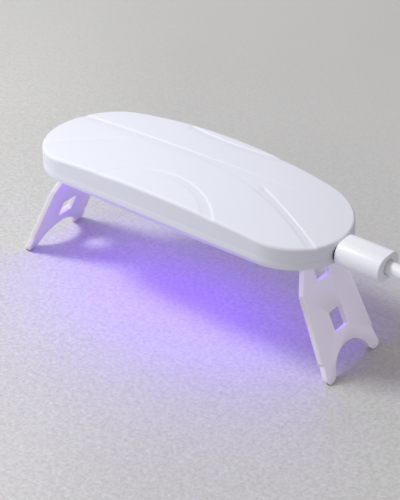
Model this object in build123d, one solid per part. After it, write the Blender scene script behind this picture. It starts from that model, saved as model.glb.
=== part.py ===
from build123d import *
import os
from math import cos, degrees, pi, radians, sin, sqrt, tan

# A small folding nail lamp with its charging lead, in millimetres.
# X runs along the lamp towards the lead, Z is up, and the feet stand on Z = 0.

# Clearances
running_gap = 0.05      # a pin in its hole, a plug in its socket
side_gap = 0.3          # between pieces that pass each other
seat_gap = 0.1          # a piece dropped into its seat
past = 6.0              # how far a cutting form runs past what it cuts

# Housing, seen from above and from the side
body_length = 134.0
body_width = 50.4
end_radius = 23.5       # plan radius of the round ends
wall_height = 11.7      # side wall at the middle, rim to top edge
top_drop = 7.5          # how much lower the top edge lies at the ends
rim_drop = 2.3          # the same for the lower rim
seam_height = 4.1       # rim to seam at the middle
seam_drop = 4.0
crown = 1.6             # rise of the top across its width
top_round = 1.5
cover_wall = 1.6
shell_wall = 1.8
ledge_thickness = 1.6   # underside around the leg pocket
floor_thickness = 1.2   # floor between the pocket and the lamp board
pocket_wall = 1.2
lip_height = 1.2
lip_thickness = 0.8

# Contour lines on the top: each is the plan region between two arcs through three points
relief_height = 0.4
relief_inset = 0.9      # they end this far inside the outline
contour_lines = [
    (((-27.0, -27.0), (2.0, -10.8), (29.5, -27.0)), ((-17.0, -27.0), (2.5, -14.6), (22.5, -27.0))),
    (((-20.0, 27.0), (-1.0, 26.5), (21.0, 27.0)), ((-20.0, 24.6), (-1.0, 21.4), (21.0, 24.8))),
    (((29.6, 3.4), (47.5, -4.1), (68.0, -13.8)), ((27.5, 1.6), (45.5, -7.2), (65.5, -18.0))),
    (((-64.0, 13.2), (-10.0, 6.2), (42.0, 11.2)), ((-64.0, 12.0), (-10.0, 5.0), (42.0, 10.6))),
    (((-66.0, -15.5), (-49.6, -6.3), (-33.0, 2.3)), ((-66.0, -16.6), (-49.2, -7.3), (-33.0, 1.7))),
]

# Folding legs, each as long as the housing has room for when it is folded
fold_gap = 4.0          # folded foot's inner edge to the middle of the housing
leg_thickness = 2.1
leg_splay = 24.4        # degrees outwards from upright
pin_offset = 0.9        # pin axis to the outer face of the plate
hinge_inset = 13.2      # pin axis to the end of the housing
pin_height = 0.55       # pin axis above the middle of the rim
barrel_radius = 2.0
barrel_half = 9.0
plate_past_pin = 1.6    # the plate starts this far above the pin axis
pin_radius = 1.1
pin_stub = 2.4
neck_length = 8.5
shoulder_at = 16.2      # from the pin, along the plate
shoulder_half = 13.7
shoulder_round = 1.6
step_at = 7.1           # height of the side steps above the foot, along the plate
step_half = 15.9
step_depth = 0.6
step_slope = 0.6        # length of the step, along the plate
step_easing = (0.8, 0.2)        # below the step the edge turns back outwards
foot_half = 17.0
foot_flare = 0.3        # half width gained at the plate's end
foot_spare = 4.0        # plate past the foot's inner edge, later cut off level
toe_outer_round = 2.0
toe_inner_round = 2.9
arch_radius = 11.4
arch_past_foot = 2.7    # the arch's centre lies this far past the foot's inner edge
window_half = 3.8
window_low = 14.1       # lower edge of the first window, from the foot
window_tall = 8.1
window_from_pin = 7.0   # pin axis to the second window
window_round = 0.5
stop_reach = 2.3        # the rib that meets the pocket's end wall when the leg is open
stop_half = 5.0
stop_top = 0.4
stop_bottom = 1.6
ear_width = 3.0
ear_end_wall = 0.4      # left outside the pin's blind hole
pocket_spare = 0.3      # extra room beside the folded feet
pocket_round = 8.0

# Lamps
lamp_in_arch = 2.9      # centre of the lamp in the arch, from the foot
lens_radius = 3.1
lens_drop = 2.1         # how far a lens stands out below the reflector
lens_dome = 1.5
flange_radius = 3.9
flange_thickness = 0.5
reflector_thickness = 0.5
reflector_end_gap = 2.3         # reflector to the legs' barrels
reflector_round = 2.0
lamp_size = 3.5
lamp_thickness = 0.7
lamp_window = 1.3       # radius
lamp_window_depth = 0.15
board_margin = 0.85     # board past the outermost lens flange
board_width = 16.0
board_thickness = 1.0
board_round = 1.5
post_radius = 1.2

# Pieces on the lamp board
chip_x = 14.5
chip_length = 5.0
chip_width = 3.9
chip_thickness = 1.4
chip_lead_pitch = 1.27
chip_lead_width = 0.4
chip_lead_reach = 3.0   # from the chip's middle to the ends of its leads
chip_lead_sheet = 0.2
resistor_y = 5.0
resistor_size = (3.2, 1.6, 0.55)
capacitor_x = -12.0
capacitor_size = (3.2, 2.5, 2.0)

# Case screws
screw_x = 30.0
screw_y = 20.9
screw_shank = 0.9
screw_head = 1.7
head_thickness = 1.2
head_depth = 0.3
screw_length = 6.0
cross_half = 1.1        # the screw head's cross slot
cross_width = 0.4
cross_depth = 0.6
pilot_spare = 0.4
screw_post = 2.2
screw_seat = 2.6
post_height = 3.0

# Socket, switch and their small boards
port_height = 1.2       # socket axis above the rim's level at the middle
socket_width = 7.56
socket_tall = 2.66
socket_sheet = 0.3
socket_length = 5.0
socket_round = 0.6
socket_inset = 0.4      # socket mouth to the end of the housing
port_gap = 0.2
socket_board_length = 6.4
switch_board_length = 4.6
small_board_width = 13.0
small_board_round = 0.8
tongue_width = 3.6
tongue_thickness = 0.5
tongue_length = 3.8
button_width = 8.0
button_tall = 3.0
button_proud = 0.8
button_travel = 0.4
button_round = 0.35
button_flange = 0.6
flange_lip = 0.6
flange_setback = 1.4    # behind the end wall's middle, so clear of the curve at its sides
plunger_radius = 1.1
plunger_length = 1.2
switch_depth = 3.0
switch_width = 6.0
switch_bore_spare = 0.4

# Lead
cable_diameter = 5.0
grip_length = 18.6
grip_width = 13.2
grip_tall = 9.8
grip_round = 4.7
grip_front_round = 0.5
grip_rear_round = 0.3
grip_gap = 0.2          # pushed-in plug to the end of the housing
grip_recess_radius = 4.2
grip_recess = 1.4
nose_wall = 0.25
nose_length = 5.0
nose_root = 3.0
nose_cut = 0.8          # the two lower corners are cut away
nose_ease = 0.35        # and the upper ones eased
hang_points = [(16.0, 0.0, 0.0), (33.0, -3.0, -10.0), (44.0, -9.0, -28.0)]     # from the plug, by hand
hang_run_in = 20.0      # straight stretch before the coil
turn_gap = 0.6          # between neighbouring turns of the coil
coil_radius = 26.0      # middle of the turns
coil_dip = 1.3          # how far the climbing half turn lies inside the innermost turns
coil_center = (172.0, 10.0)
coil_start_angle = 270.0
coil_turns = 2          # whole turns in each of the two layers
coil_climb = 0.5        # turns taken from one layer to the other
tail_run = 25.0         # straight stretch that leaves the coil
tail_bend = 22.0        # radius of the last bend, towards the far plug
a_grip_length = 22.0
a_grip_width = 15.6
a_grip_tall = 8.0
a_grip_round = 2.6
a_neck_length = 5.0
a_neck_width = 9.0
a_neck_tall = 6.6
a_neck_round = 3.0
a_shell_length = 12.0
a_shell_width = 12.0
a_shell_tall = 4.5
a_shell_wall = 0.3
a_tongue_tall = 1.8
a_tongue_inset = 0.6
a_window = 2.2          # the two square holes above and below
a_window_y = 2.6
a_window_from_grip = 7.2

# Places worked out from the sizes above
splay = radians(leg_splay)
hinge_x = body_length / 2 - hinge_inset
leg_length = hinge_x - fold_gap         # along the plate, from the pin to the foot's inner edge
window_starts = (leg_length - window_low - window_tall, window_from_pin)        # from the pin
hinge_z = leg_length * cos(splay) + (pin_offset + leg_thickness) * sin(splay)
rim_z = hinge_z - pin_height
top_z = rim_z + wall_height
seam_z = rim_z + seam_height
half_length = body_length / 2
half_width = body_width / 2
end_centre_x = half_length - end_radius
side_radius = (end_centre_x**2 + half_width**2 - end_radius**2) / (2 * (half_width - end_radius))
reflector_z = hinge_z + pin_offset + leg_thickness + side_gap
ceiling_z = reflector_z + reflector_thickness
floor_z = ceiling_z + floor_thickness
board_z = floor_z + flange_thickness
pocket_half_length = hinge_x + stop_reach + running_gap
pocket_half_width = foot_half + side_gap + pocket_spare
port_z = rim_z + port_height
small_board_z = port_z + socket_tall / 2
mouth_x = half_length - socket_inset
flange_x = -(half_length - shell_wall - flange_setback)
plunger_x = flange_x + button_flange
switch_x = plunger_x + plunger_length
grip_x = half_length + grip_gap
cable_start_x = grip_x + grip_length - grip_recess
pitch = cable_diameter + turn_gap
coil_low = cable_diameter / 2
coil_high = coil_low + pitch
spread = coil_turns * pitch / 2
lamps_to_pin = [leg_length - lamp_in_arch] + [start + window_tall / 2 for start in window_starts]
lens_x = [hinge_x - u for u in lamps_to_pin]
reflector_half_length = hinge_x - barrel_radius - reflector_end_gap
board_length = 2 * (max(lens_x) + flange_radius + board_margin)


def arc_radius(half_span, drop):
    """Radius of an arc that falls by drop at half_span from its top."""
    return (half_span**2 + drop**2) / (2 * drop)


def arch_at(x, z_middle, drop):
    """Height at x of an arch that is z_middle high and falls by drop at the housing's ends."""
    radius = arc_radius(half_length, drop)
    return z_middle - radius + sqrt(radius**2 - x**2)


def outline(inset=0.0):
    """The housing's plan: two round ends joined by gently bowed sides."""
    end = end_radius - inset
    side = side_radius - inset
    reach = side_radius - end_radius
    ux, uy = end_centre_x / reach, (side_radius - half_width) / reach
    corner = (end_centre_x + end * ux, end * uy)
    with_mirror = [(sx * corner[0], sy * corner[1]) for sx, sy in ((1, 1), (-1, 1), (-1, -1), (1, -1))]
    right_tip, left_tip = (half_length - inset, 0), (inset - half_length, 0)
    top_mid, low_mid = (0, half_width - side_radius + side), (0, side_radius - half_width - side)
    edges = [
        ThreePointArc(with_mirror[0], top_mid, with_mirror[1]),
        ThreePointArc(with_mirror[1], left_tip, with_mirror[2]),
        ThreePointArc(with_mirror[2], low_mid, with_mirror[3]),
        ThreePointArc(with_mirror[3], right_tip, with_mirror[0]),
    ]
    return make_face(Wire(edges))


def prism(face, low, high):
    """An upright solid on a plan face, between two heights."""
    return extrude(Pos(0, 0, low) * face, amount=high - low)


def under_arch(z_middle, drop, low=0.0):
    """Everything below a lengthwise arch, wider than the housing."""
    reach = half_length + 2 * past
    edge_z = arch_at(reach, z_middle, drop)
    arch = ThreePointArc((-reach, edge_z), (0, z_middle), (reach, edge_z))
    sides = Polyline((reach, edge_z), (reach, low), (-reach, low), (-reach, edge_z))
    profile = Plane.XZ * make_face(Wire([arch, *sides.edges()]))
    return extrude(profile, amount=body_width, both=True)


def under_crown(lift=0.0):
    """Everything below the top surface, which arches lengthwise and is crowned across."""
    radius = arc_radius(half_length, top_drop) + lift
    across = arc_radius(half_width, crown)
    axis_z = top_z + lift - radius
    reach = half_width + past
    edge = crown - across + sqrt(across**2 - reach**2)
    arch = ThreePointArc((-reach, radius + edge), (0, radius + crown), (reach, radius + edge))
    low = radius - 5 * past
    sides = Polyline((reach, radius + edge), (reach, low), (-reach, low), (-reach, radius + edge))
    section = Plane.YZ * make_face(Wire([arch, *sides.edges()]))
    swing = degrees(1.3 * half_length / radius)
    turned = Rot(0, -swing, 0) * section
    form = revolve(turned, Axis.Y, 2 * swing)
    return Pos(0, 0, axis_z) * form


def slot_face(width, tall):
    """A face with round ends, width along Y and tall along Z, looking along X."""
    return Plane.YZ * SlotOverall(width, tall)


def rounded_bar(x_start, x_end, width, tall, z, radius):
    """A bar along X with a rounded rectangular section."""
    section = Plane.YZ * RectangleRounded(width, tall, radius)
    return Pos(x_start, 0, z) * extrude(section, amount=x_end - x_start)


def block(x, y, z):
    """A box between (low, high) pairs."""
    middle = [(low + high) / 2 for low, high in (x, y, z)]
    return Pos(*middle) * Box(x[1] - x[0], y[1] - y[0], z[1] - z[0])


def post(x, y, low, high, radius):
    """An upright cylinder between two heights."""
    return Pos(x, y, (low + high) / 2) * Cylinder(radius, high - low)


def lens_places():
    """X of the six lamps: over the arch and both windows of each folded leg."""
    return [-x for x in reversed(lens_x)] + lens_x


def screw_places():
    return [(sx * screw_x, sy * screw_y) for sx in (-1, 1) for sy in (-1, 1)]


def button_hole(grow):
    """The push button's slot through the left end wall."""
    cutter = extrude(slot_face(button_width + 2 * grow, button_tall + 2 * grow), amount=past)
    return Pos(-half_length - past / 2, 0, port_z) * cutter


def port_hole():
    width = socket_width + 2 * port_gap
    tall = socket_tall + 2 * port_gap
    return rounded_bar(half_length - past, half_length + past, width, tall, port_z, socket_round)


def band(outer, inner):
    """The plan region between two arcs."""
    ends = [Line(outer[2], inner[2]), Line(inner[0], outer[0])]
    return make_face(Wire([ThreePointArc(*outer), ends[0], ThreePointArc(*reversed(inner)), ends[1]]))


def make_top_cover():
    outer = prism(outline(), rim_z, top_z + past) & under_crown()
    rounded_edges = outer.edges().filter_by(lambda e: e.center().Z > rim_z + 1 and e.length > end_radius)
    outer = fillet(rounded_edges, top_round)
    raised = under_crown(relief_height) - under_crown(-cover_wall / 2)
    keep = prism(outline(relief_inset), rim_z, top_z + past)
    for outer_arc, inner_arc in contour_lines:
        outer += prism(band(outer_arc, inner_arc), seam_z, top_z + past) & raised & keep
    outer -= under_arch(seam_z, seam_drop)
    inner = prism(outline(cover_wall), rim_z - past, top_z + past) & under_crown(-cover_wall)
    cover = outer - inner
    for x, y in screw_places():
        low = arch_at(x, rim_z, rim_drop) + post_height
        boss = post(x, y, low, top_z + crown, screw_post) & under_crown(-cover_wall / 2)
        cover += boss & prism(outline(cover_wall / 2), rim_z, top_z + crown)
        pilot_end = low - post_height + head_depth + head_thickness + screw_length + pilot_spare
        cover -= post(x, y, low - pilot_spare, pilot_end, screw_shank)
    cover -= port_hole()
    cover -= button_hole(port_gap)
    return cover


def pocket_face(grow=0.0):
    length, width = pocket_half_length + grow, pocket_half_width + grow
    return RectangleRounded(2 * length, 2 * width, pocket_round + grow)


def make_bottom_shell():
    ring = prism(outline(), rim_z - past, seam_z + past) & under_arch(seam_z, seam_drop)
    hollow = prism(outline(shell_wall), rim_z - past, seam_z + past)
    hollow -= under_arch(rim_z + ledge_thickness, rim_drop)
    lip = prism(outline(cover_wall + seat_gap), rim_z, seam_z + past)
    lip -= prism(outline(cover_wall + seat_gap + lip_thickness), rim_z - past, seam_z + 2 * past)
    lip &= under_arch(seam_z + lip_height, seam_drop) - under_arch(rim_z + ledge_thickness / 2, rim_drop)
    shell = ring - hollow + lip
    shell += prism(pocket_face(pocket_wall), rim_z - past, floor_z)
    shell -= under_arch(rim_z, rim_drop)
    shell -= prism(pocket_face(), rim_z - 2 * past, ceiling_z)
    for x, y in screw_places():
        rim_here = arch_at(x, rim_z, rim_drop)
        shell -= post(x, y, rim_here + post_height, top_z, screw_post + seat_gap)
        shell += post(x, y, rim_here + head_depth, rim_here + post_height, screw_seat)
        shell -= post(x, y, rim_here - past, rim_here + head_depth + head_thickness, screw_head + seat_gap)
        shell -= post(x, y, rim_here, rim_here + 2 * post_height, screw_shank + running_gap)
    for x in lens_places():
        shell -= post(x, 0, ceiling_z - floor_thickness, floor_z + floor_thickness, lens_radius + seat_gap)
    for sx in (-1, 1):
        for sy in (-1, 1):
            shell += make_ear(sx, sy)
            corner_x = sx * (board_length / 2 - 2 * post_radius)
            corner_y = sy * (board_width / 2 - 2 * post_radius)
            shell += post(corner_x, corner_y, floor_z, board_z, post_radius)
    for sx in (-1, 1):
        for sy in (-1, 1):
            y = sy * (small_board_width / 2 - post_radius)
            ledge = arch_at(small_board_x(sx), rim_z, rim_drop) + ledge_thickness / 2
            shell += post(small_board_x(sx), y, ledge, small_board_z, post_radius)
    shell -= port_hole()
    shell -= button_hole(port_gap)
    shell -= hinge_bores()
    return shell


def small_board_length(side):
    return socket_board_length if side > 0 else switch_board_length


def small_board_x(side):
    """Middle of the small board at one end, just outside the tray's end wall."""
    return side * (pocket_half_length + pocket_wall + side_gap + small_board_length(side) / 2)


def make_ear(sx, sy):
    """A lug that carries one stub of a leg's pin, rounded around the pin."""
    y = sy * (barrel_half + side_gap + ear_width / 2)
    x = sx * hinge_x
    round_end = Pos(x, y, hinge_z) * Rot(90, 0, 0) * Cylinder(barrel_radius, ear_width)
    outer_x = sx * (pocket_half_length + pocket_wall / 2)
    inner_x = x - sx * barrel_radius
    span = (min(inner_x, outer_x), max(inner_x, outer_x))
    upper = block(span, (y - ear_width / 2, y + ear_width / 2), (hinge_z, ceiling_z + floor_thickness / 2))
    back = (min(x, outer_x), max(x, outer_x))
    lower = block(back, (y - ear_width / 2, y + ear_width / 2), (hinge_z - barrel_radius, hinge_z))
    return round_end + upper + lower - under_arch(rim_z, rim_drop)


def hinge_bores():
    """Holes for the pins of both legs, through the ears only."""
    reach = barrel_half + side_gap + ear_width - ear_end_wall
    bore = Rot(90, 0, 0) * Cylinder(pin_radius + running_gap, 2 * reach)
    return Compound([Pos(sx * hinge_x, 0, hinge_z) * bore for sx in (-1, 1)])


def leg_profile():
    """The leg's outline, u from the pin towards the foot and v across."""
    step_u = leg_length - step_at
    right = [
        (-plate_past_pin, barrel_half),
        (neck_length, barrel_half),
        (shoulder_at, shoulder_half),
        (step_u - step_slope, step_half),
        (step_u, step_half - step_depth),
        (step_u + step_easing[0], step_half - step_depth + step_easing[1]),
        (leg_length + foot_spare, foot_half + foot_flare),
    ]
    left = [(u, -v) for u, v in reversed(right)]
    face = make_face(Polyline(*right, *left, close=True))
    shoulders = face.vertices().filter_by(lambda v: neck_length / 2 < v.X < leg_length / 2)
    face = fillet(shoulders, shoulder_round)
    arch_centre = leg_length + arch_past_foot
    face -= Pos(arch_centre, 0) * Circle(arch_radius)
    face -= Pos(arch_centre + foot_spare, 0) * Rectangle(2 * foot_spare, 2 * arch_radius)
    window = RectangleRounded(window_tall, 2 * window_half, window_round)
    for start in window_starts:
        face -= Pos(start + window_tall / 2, 0) * window
    return face


def toe_corners(plate):
    """The edges that run through the plate's thickness where it meets the floor."""
    on_floor = plate.edges().filter_by(lambda e: abs(e.center().Z) < 0.01)
    return on_floor.filter_by(lambda e: e.length < 1.5 * leg_thickness)


def make_leg(side):
    """One leg, open. The plate leans outwards and its feet are cut level with the floor."""
    down, out = (sin(splay), 0, -cos(splay)), (cos(splay), 0, sin(splay))
    frame = Plane(origin=(hinge_x, 0, hinge_z), x_dir=down, z_dir=out)
    plate = frame * Pos(0, 0, -pin_offset - leg_thickness) * extrude(leg_profile(), amount=leg_thickness)
    plate -= block((0, 2 * half_length), (-half_width, half_width), (-leg_length, 0))
    outer_from = foot_half - toe_outer_round
    plate = fillet(toe_corners(plate).filter_by(lambda e: abs(e.center().Y) < outer_from), toe_inner_round)
    plate = fillet(toe_corners(plate).filter_by(lambda e: abs(e.center().Y) > outer_from), toe_outer_round)
    barrel = Pos(hinge_x, 0, hinge_z) * Rot(90, 0, 0) * Cylinder(barrel_radius, 2 * barrel_half)
    pins = Pos(hinge_x, 0, hinge_z) * Rot(90, 0, 0) * Cylinder(pin_radius, 2 * (barrel_half + pin_stub))
    stop = block(
        (hinge_x, hinge_x + stop_reach),
        (-stop_half, stop_half),
        (hinge_z - stop_bottom, hinge_z - stop_top),
    )
    leg = plate + barrel + pins + stop
    return leg if side > 0 else mirror(leg, Plane.YZ)


def make_reflector():
    face = RectangleRounded(2 * reflector_half_length, 2 * (pocket_half_width - seat_gap), reflector_round)
    plate = prism(face, reflector_z, ceiling_z)
    for x in lens_places():
        plate -= post(x, 0, reflector_z - past, ceiling_z + past, lens_radius + seat_gap)
    return plate


def make_lens(x):
    """A clear dome with a flange between the floor and the board."""
    tip_z = reflector_z - lens_drop
    shoulder_z = tip_z + lens_dome
    dome_radius = arc_radius(lens_radius, lens_dome)
    middle = (lens_radius / 2, tip_z + dome_radius - sqrt(dome_radius**2 - lens_radius**2 / 4))
    rim = Polyline(
        (lens_radius, shoulder_z), (lens_radius, floor_z), (flange_radius, floor_z),
        (flange_radius, board_z), (0, board_z), (0, tip_z),
    )
    dome = ThreePointArc((0, tip_z), middle, (lens_radius, shoulder_z))
    profile = Plane.XZ * make_face(Wire([*rim.edges(), dome]))
    lens = revolve(profile, Axis.Z)
    seat = lamp_size / 2 + seat_gap
    lens -= block((-seat, seat), (-seat, seat), (board_z - lamp_thickness - seat_gap, board_z))
    return Pos(x, 0, 0) * lens


def make_lamp(x):
    """The light source under the board, with its round window."""
    half = lamp_size / 2
    low = board_z - lamp_thickness
    body = block((-half, half), (-half, half), (low, board_z))
    body -= post(0, 0, low - lamp_window_depth, low + lamp_window_depth, lamp_window)
    return Pos(x, 0, 0) * body


def make_lamp_board():
    face = RectangleRounded(board_length, board_width, board_round)
    return prism(face, board_z, board_z + board_thickness)


def make_chip():
    """The timer and driver chip on top of the lamp board, with eight bent leads."""
    base = board_z + board_thickness
    half = chip_width / 2
    wide = chip_lead_width / 2
    body = block(
        (chip_x - chip_length / 2, chip_x + chip_length / 2),
        (-half, half),
        (base + chip_lead_sheet / 2, base + chip_lead_sheet / 2 + chip_thickness),
    )
    for place in (-1.5, -0.5, 0.5, 1.5):
        x = chip_x + place * chip_lead_pitch
        for side in (-1, 1):
            foot = sorted((side * (half - chip_lead_sheet), side * chip_lead_reach))
            bend = sorted((side * (half - chip_lead_sheet), side * (half + 2 * chip_lead_sheet)))
            body += block((x - wide, x + wide), foot, (base, base + chip_lead_sheet))
            body += block((x - wide, x + wide), bend, (base, base + chip_thickness / 2))
    return body


def on_board(x, y, size):
    """A plain block of a given size that stands on the lamp board."""
    return Pos(x, y, board_z + board_thickness + size[2] / 2) * Box(*size)


def make_resistors():
    """One series resistor for each lamp."""
    return Compound([on_board(x, resistor_y, resistor_size) for x in lens_places()])


def make_capacitor():
    return on_board(capacitor_x, 0, capacitor_size)


def make_small_board(side):
    x = small_board_x(side)
    face = Pos(x, 0) * RectangleRounded(small_board_length(side), small_board_width, small_board_round)
    return prism(face, small_board_z, small_board_z + board_thickness)


def make_socket_shell():
    """The socket's bent sheet, open at the mouth."""
    outer = rounded_bar(mouth_x - socket_length, mouth_x, socket_width, socket_tall, port_z, socket_round)
    inner_width = socket_width - 2 * socket_sheet
    inner_tall = socket_tall - 2 * socket_sheet
    start = mouth_x - socket_length + socket_sheet
    inner = rounded_bar(start, mouth_x + past, inner_width, inner_tall, port_z, socket_round - socket_sheet)
    return outer - inner


def make_socket_tongue():
    start = mouth_x - socket_length + socket_sheet
    return block(
        (start, start + tongue_length),
        (-tongue_width / 2, tongue_width / 2),
        (port_z - tongue_thickness / 2, port_z + tongue_thickness / 2),
    )


def make_button():
    front = -half_length - button_proud
    bar = extrude(slot_face(button_width, button_tall), amount=flange_x - front)
    bar = Pos(front, 0, port_z) * bar
    bar = fillet(bar.edges().filter_by(lambda e: e.center().X < front + 0.01), button_round)
    lip = extrude(slot_face(button_width + 2 * flange_lip, button_tall), amount=button_flange)
    return bar + Pos(flange_x, 0, port_z) * lip


def make_plunger():
    """The switch's own plunger, which travels with the button."""
    length = plunger_length + button_travel
    return Pos(plunger_x + length / 2, 0, port_z) * Rot(0, 90, 0) * Cylinder(plunger_radius, length)


def make_switch():
    """The switch under its board, with a blind hole for the plunger."""
    body = block(
        (switch_x, switch_x + switch_depth),
        (-switch_width / 2, switch_width / 2),
        (small_board_z - socket_tall, small_board_z),
    )
    depth = 2 * button_travel + switch_bore_spare
    bore = Rot(0, 90, 0) * Cylinder(plunger_radius + running_gap, 2 * depth)
    return body - Pos(switch_x, 0, port_z) * bore


def make_screws():
    """Four small screws through the ledge into the cover's bosses, heads sunk from below."""
    screws = []
    for x, y in screw_places():
        low = arch_at(x, rim_z, rim_drop) + head_depth
        head = post(x, y, low, low + head_thickness, screw_head)
        half, deep = cross_width / 2, (low - cross_depth, low + cross_depth)
        cross = block((x - cross_half, x + cross_half), (y - half, y + half), deep)
        cross += block((x - half, x + half), (y - cross_half, y + cross_half), deep)
        shank = post(x, y, low + head_thickness, low + head_thickness + screw_length, screw_shank)
        screws.append(head - cross + shank)
    return Compound(screws)


def nose_section(grow):
    """The small plug's section: flat on top, its lower corners cut away."""
    half = socket_width / 2 - socket_sheet - running_gap + grow
    tall = socket_tall / 2 - socket_sheet - running_gap + grow
    right = [(half - nose_ease, tall), (half, tall - nose_ease)]
    right += [(half, nose_cut - tall), (half - nose_cut, -tall)]
    left = [(-y, z) for y, z in reversed(right)]
    return Plane.YZ * make_face(Polyline(*right, *left, close=True))


def make_nose():
    """The small plug's metal nose, a hollow sheet."""
    start = grip_x - nose_length
    outer = extrude(nose_section(0), amount=nose_length + nose_root)
    inner = extrude(nose_section(-nose_wall), amount=nose_length + nose_root)
    return Pos(start, 0, port_z) * (outer - inner)


def make_grip():
    """The plug's moulded grip, flat above and below, with a recess where the cable leaves."""
    grip = rounded_bar(grip_x, grip_x + grip_length, grip_width, grip_tall, port_z, grip_round)
    grip = fillet(grip.edges().filter_by(lambda e: abs(e.center().X - grip_x) < 0.01), grip_front_round)
    rear = grip_x + grip_length
    grip -= Pos(rear, 0, port_z) * Rot(0, 90, 0) * Cylinder(grip_recess_radius, 2 * grip_recess)
    grip = fillet(grip.edges().filter_by(lambda e: abs(e.center().X - rear) < 0.01), grip_rear_round)
    socket = extrude(nose_section(0), amount=nose_root)
    return grip - Pos(grip_x, 0, port_z) * socket


def coil_point(turn):
    """A point of the coil: in on the upper layer, down a layer in half a turn, out on the lower one."""
    cx, cy = coil_center
    inner = coil_radius - spread
    if turn <= coil_turns:
        radius, z = coil_radius + spread - pitch * turn, coil_high
    elif turn <= coil_turns + coil_climb:
        share = (turn - coil_turns) / coil_climb
        radius = inner - coil_dip * sin(pi * share) ** 2
        z = coil_high + (coil_low - coil_high) * (share - sin(2 * pi * share) / (2 * pi))
    else:
        radius, z = inner + pitch * (turn - coil_turns - coil_climb), coil_low
    angle = radians(coil_start_angle) + 2 * pi * turn
    return Vector(cx + radius * cos(angle), cy + radius * sin(angle), z)


def coil_tangent(turn):
    """Unit direction of the coil at a point, from its neighbours on the same formula."""
    small = 0.0005
    before = coil_point(max(turn - small, 0))
    after = coil_point(min(turn + small, 2 * coil_turns + coil_climb))
    return (after - before).normalized()


def biarc(start, start_dir, end, end_dir):
    """Two tangent arcs from start to end that keep both directions."""
    chord = end - start
    both = start_dir + end_dir
    same = 2 * (1 - start_dir.dot(end_dir))
    along = chord.dot(both)
    reach = (-along + sqrt(along**2 + same * chord.dot(chord))) / same
    middle = (start + end + (start_dir - end_dir) * reach) * 0.5
    first = TangentArc(start, middle, tangent=start_dir)
    second = TangentArc(middle, end, tangent=first % 1)
    return [first, second]


def tail_frame():
    """Where the tail's last bend starts and ends, with its directions there."""
    last = coil_point(2 * coil_turns + coil_climb)
    tangent = coil_tangent(2 * coil_turns + coil_climb)
    out = Vector(tangent.X, tangent.Y, 0).normalized()
    turned = Vector(-out.Y, out.X, 0)
    bend_start = last + out * tail_run
    bend_end = bend_start + (out + turned) * tail_bend
    return bend_start, out, Vector(bend_end.X, bend_end.Y, a_grip_tall / 2), turned


def coil_path():
    """The coil's line: a short straight start, quarter-turn biarcs, then a tail to the far plug."""
    quarters = round(4 * (2 * coil_turns + coil_climb))
    stations = [i / 4 for i in range(quarters + 1)]
    points = [coil_point(t) for t in stations]
    dirs = [coil_tangent(t) for t in stations]
    dirs[0] = Vector(dirs[0].X, dirs[0].Y, 0).normalized()
    lead_in = points[0] - dirs[0] * cable_diameter
    edges = [Line(lead_in, points[0])]
    for i in range(quarters):
        edges += biarc(points[i], dirs[i], points[i + 1], dirs[i + 1])
    bend_start, out, bend_end, turned = tail_frame()
    edges.append(Line(points[-1], bend_start))
    edges += biarc(bend_start, out, bend_end, turned)
    edges.append(Line(bend_end, bend_end + turned * cable_diameter))
    return Wire(edges), lead_in, dirs[0]


def least_gap(wire, samples=1200):
    """Smallest clear distance between turns, measured on points of the line."""
    length = wire.length
    points = [wire.position_at(i / samples) for i in range(samples + 1)]
    step = length / samples
    apart = int(3 * cable_diameter / step)
    best = length
    for i in range(0, samples + 1, 2):
        for j in range(i + apart, samples + 1, 2):
            best = min(best, (points[i] - points[j]).length)
    return best - cable_diameter


def tube(wire, diameter):
    """A round tube along a line."""
    section = Plane(origin=wire.position_at(0), z_dir=wire.tangent_at(0)) * Circle(diameter / 2)
    return sweep(section, path=wire)


def hanging_route():
    """Points of the stretch between the small plug and the coil."""
    coil_line, end, end_dir = coil_path()
    start = Vector(cable_start_x, 0, port_z)
    return [start, *[start + Vector(*point) for point in hang_points], end - end_dir * hang_run_in, end]


def corner_radii(points):
    """The largest arc that each corner's two runs allow."""
    radii = []
    for a, b, c in zip(points, points[1:], points[2:]):
        turn = radians((b - a).get_angle(c - b))
        radii.append(0.45 * min((b - a).length, (c - b).length) / tan(turn / 2))
    return radii


def far_plug_frame():
    """Where the far plug starts, pointing on along the cable."""
    bend_start, out, bend_end, turned = tail_frame()
    return Plane(origin=bend_end + turned * cable_diameter, x_dir=out * -1, z_dir=turned)


def make_a_grip():
    """The far plug's grip, which widens from the cable."""
    section = RectangleRounded(a_grip_width, a_grip_tall, a_grip_round)
    wide_end = far_plug_frame() * Pos(0, 0, a_neck_length)
    narrow = far_plug_frame() * RectangleRounded(a_neck_width, a_neck_tall, a_neck_round)
    neck = loft([narrow, wide_end * section])
    return neck + wide_end * extrude(section, amount=a_grip_length - a_neck_length)


def make_a_shell():
    """The far plug's square sheet, with two windows above and two below."""
    inner = Rectangle(a_shell_width - 2 * a_shell_wall, a_shell_tall - 2 * a_shell_wall)
    shell = extrude(Rectangle(a_shell_width, a_shell_tall) - inner, amount=a_shell_length)
    for x in (-a_window_y, a_window_y):
        shell -= Pos(x, 0, a_window_from_grip) * Box(a_window, 2 * a_shell_tall, a_window)
    return far_plug_frame() * Pos(0, 0, a_grip_length) * shell


def make_a_tongue():
    width = a_shell_width - 2 * a_shell_wall
    length = a_shell_length - a_tongue_inset
    height = a_shell_wall + a_tongue_tall / 2 - a_shell_tall / 2
    return far_plug_frame() * Pos(0, height, a_grip_length + length / 2) * Box(width, a_tongue_tall, length)


def save(name, shape):
    export_step(shape, f"parts/{name}.step")


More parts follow.
